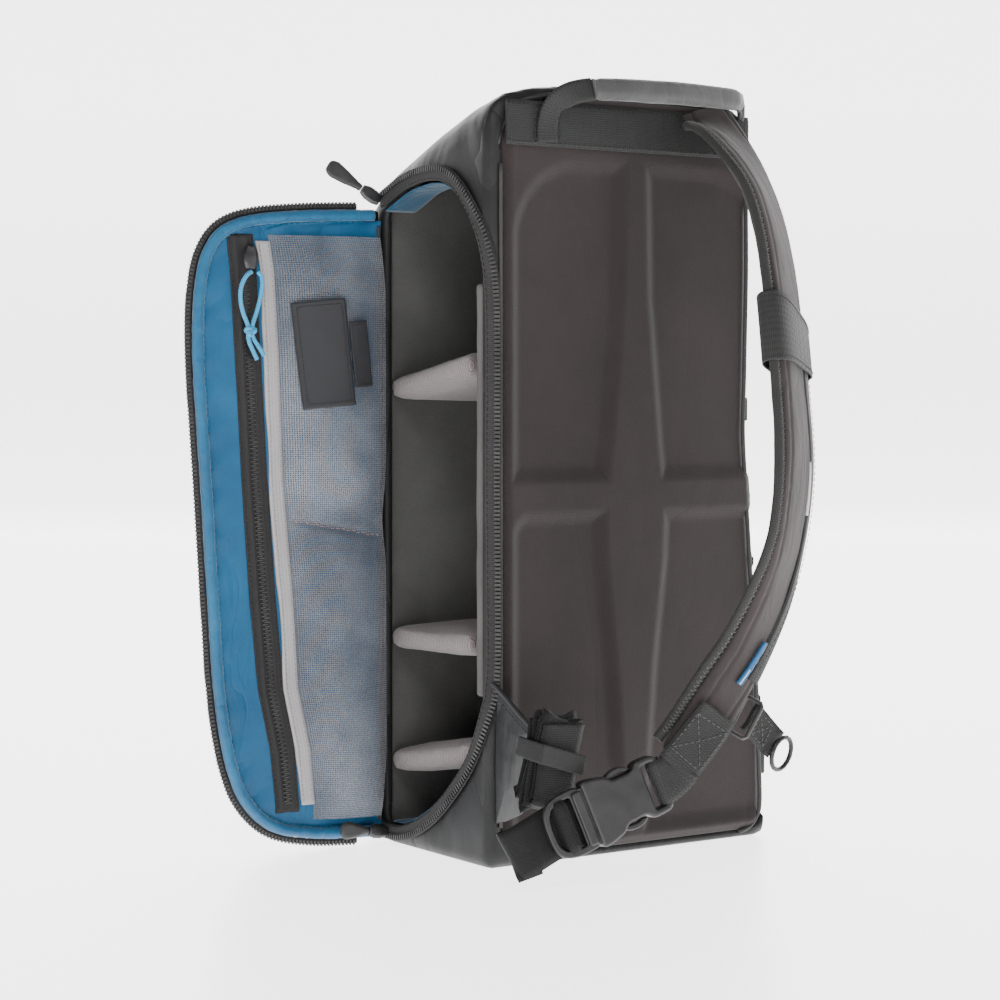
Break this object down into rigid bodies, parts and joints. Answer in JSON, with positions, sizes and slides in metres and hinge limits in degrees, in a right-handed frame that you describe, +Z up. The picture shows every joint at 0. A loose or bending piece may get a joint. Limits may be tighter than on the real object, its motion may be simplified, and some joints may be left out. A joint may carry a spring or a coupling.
{
  "type": "camera sling bag",
  "caption": "Upright camera sling bag with its padded side door swung open, dividers in the hollow body, a mesh door pocket, a curved shoulder strap, a grab handle and a fastened strap buckle.",
  "frame": {"origin": "middle of the body's flat base, on the surface that the bag stands on", "axes": "+Z up; the harness panel faces -Y, the side door hangs on the -X side, the plain front faces +Y"},
  "size_m": [0.3408, 0.2808, 0.4454],
  "materials": {
    "shell_cloth": "coated matt weave with a soft sheen",
    "harness_cloth": "fine matt knit over foam",
    "webbing": "ribbed woven ribbon, matt",
    "hip_webbing": "ribbed woven ribbon, matt",
    "handle_sleeve": "brushed wrapped cloth",
    "zip_tape": "woven tape with moulded teeth",
    "blue_cloth": "smooth nylon, soft sheen",
    "lining": "matt brushed lining",
    "lining_roll": "soft brushed lining",
    "divider_cloth": "fuzzy ribbed knit over foam",
    "mesh": "open knitted mesh",
    "binding": "soft grey ribbon",
    "label": "woven patch",
    "elastic": "woven elastic",
    "strap_pad": "air mesh over foam",
    "strap_binding": "rolled ribbon edge",
    "strap_tab": "woven tab",
    "cord": "braided cord",
    "slider_metal": "dark nickel, satin",
    "pull_plastic": "soft moulded tongue",
    "buckle_plastic": "moulded, fine grain",
    "ring_metal": "dark plated ring",
    "pocket_cloth": "stretch knit"
  },
  "bodies": {
    "root": {"shell_body": "shell_cloth", "wing": "shell_cloth", "flap_shell": "shell_cloth", "back_panel": "harness_cloth", "top_band": "webbing", "handle_web_left": "webbing", "handle_web_right": "webbing", "strap_keeper": "webbing", "strap_end_web": "webbing", "side_loop_upper": "webbing", "side_loop_lower": "webbing", "tail_web": "hip_webbing", "web_bundle": "hip_webbing", "accessory_web": "hip_webbing", "strap_webbing": "hip_webbing", "handle_sleeve": "handle_sleeve", "opening_zip": "zip_tape", "flap_zip": "zip_tape", "pocket_strip": "zip_tape", "flap_lining": "blue_cloth", "flap_rim": "blue_cloth", "rim_facing_top": "blue_cloth", "rim_facing_foot": "blue_cloth", "inner_wall": "lining", "lining_roll": "lining_roll", "divider_upper": "divider_cloth", "divider_middle": "divider_cloth", "divider_lower": "divider_cloth", "mesh_pocket": "mesh", "mesh_binding": "binding", "label_patch": "label", "label_tab": "label", "bundle_loop": "elastic", "strap_pad": "strap_pad", "strap_binding": "strap_binding", "strap_tab": "strap_tab", "pull_cord_left": "cord", "pull_cord_right": "cord", "pull_tail_left": "cord", "pull_tail_right": "cord", "pull_knot": "cord", "slider_top": "slider_metal", "slider_foot": "slider_metal", "pocket_slider": "slider_metal", "pull_top": "pull_plastic", "pull_foot": "pull_plastic", "buckle_socket": "buckle_plastic", "buckle_plug": "buckle_plastic", "square_ring": "buckle_plastic", "accessory_ring": "ring_metal", "side_pocket": "pocket_cloth"}
  },
  "joints": []
}
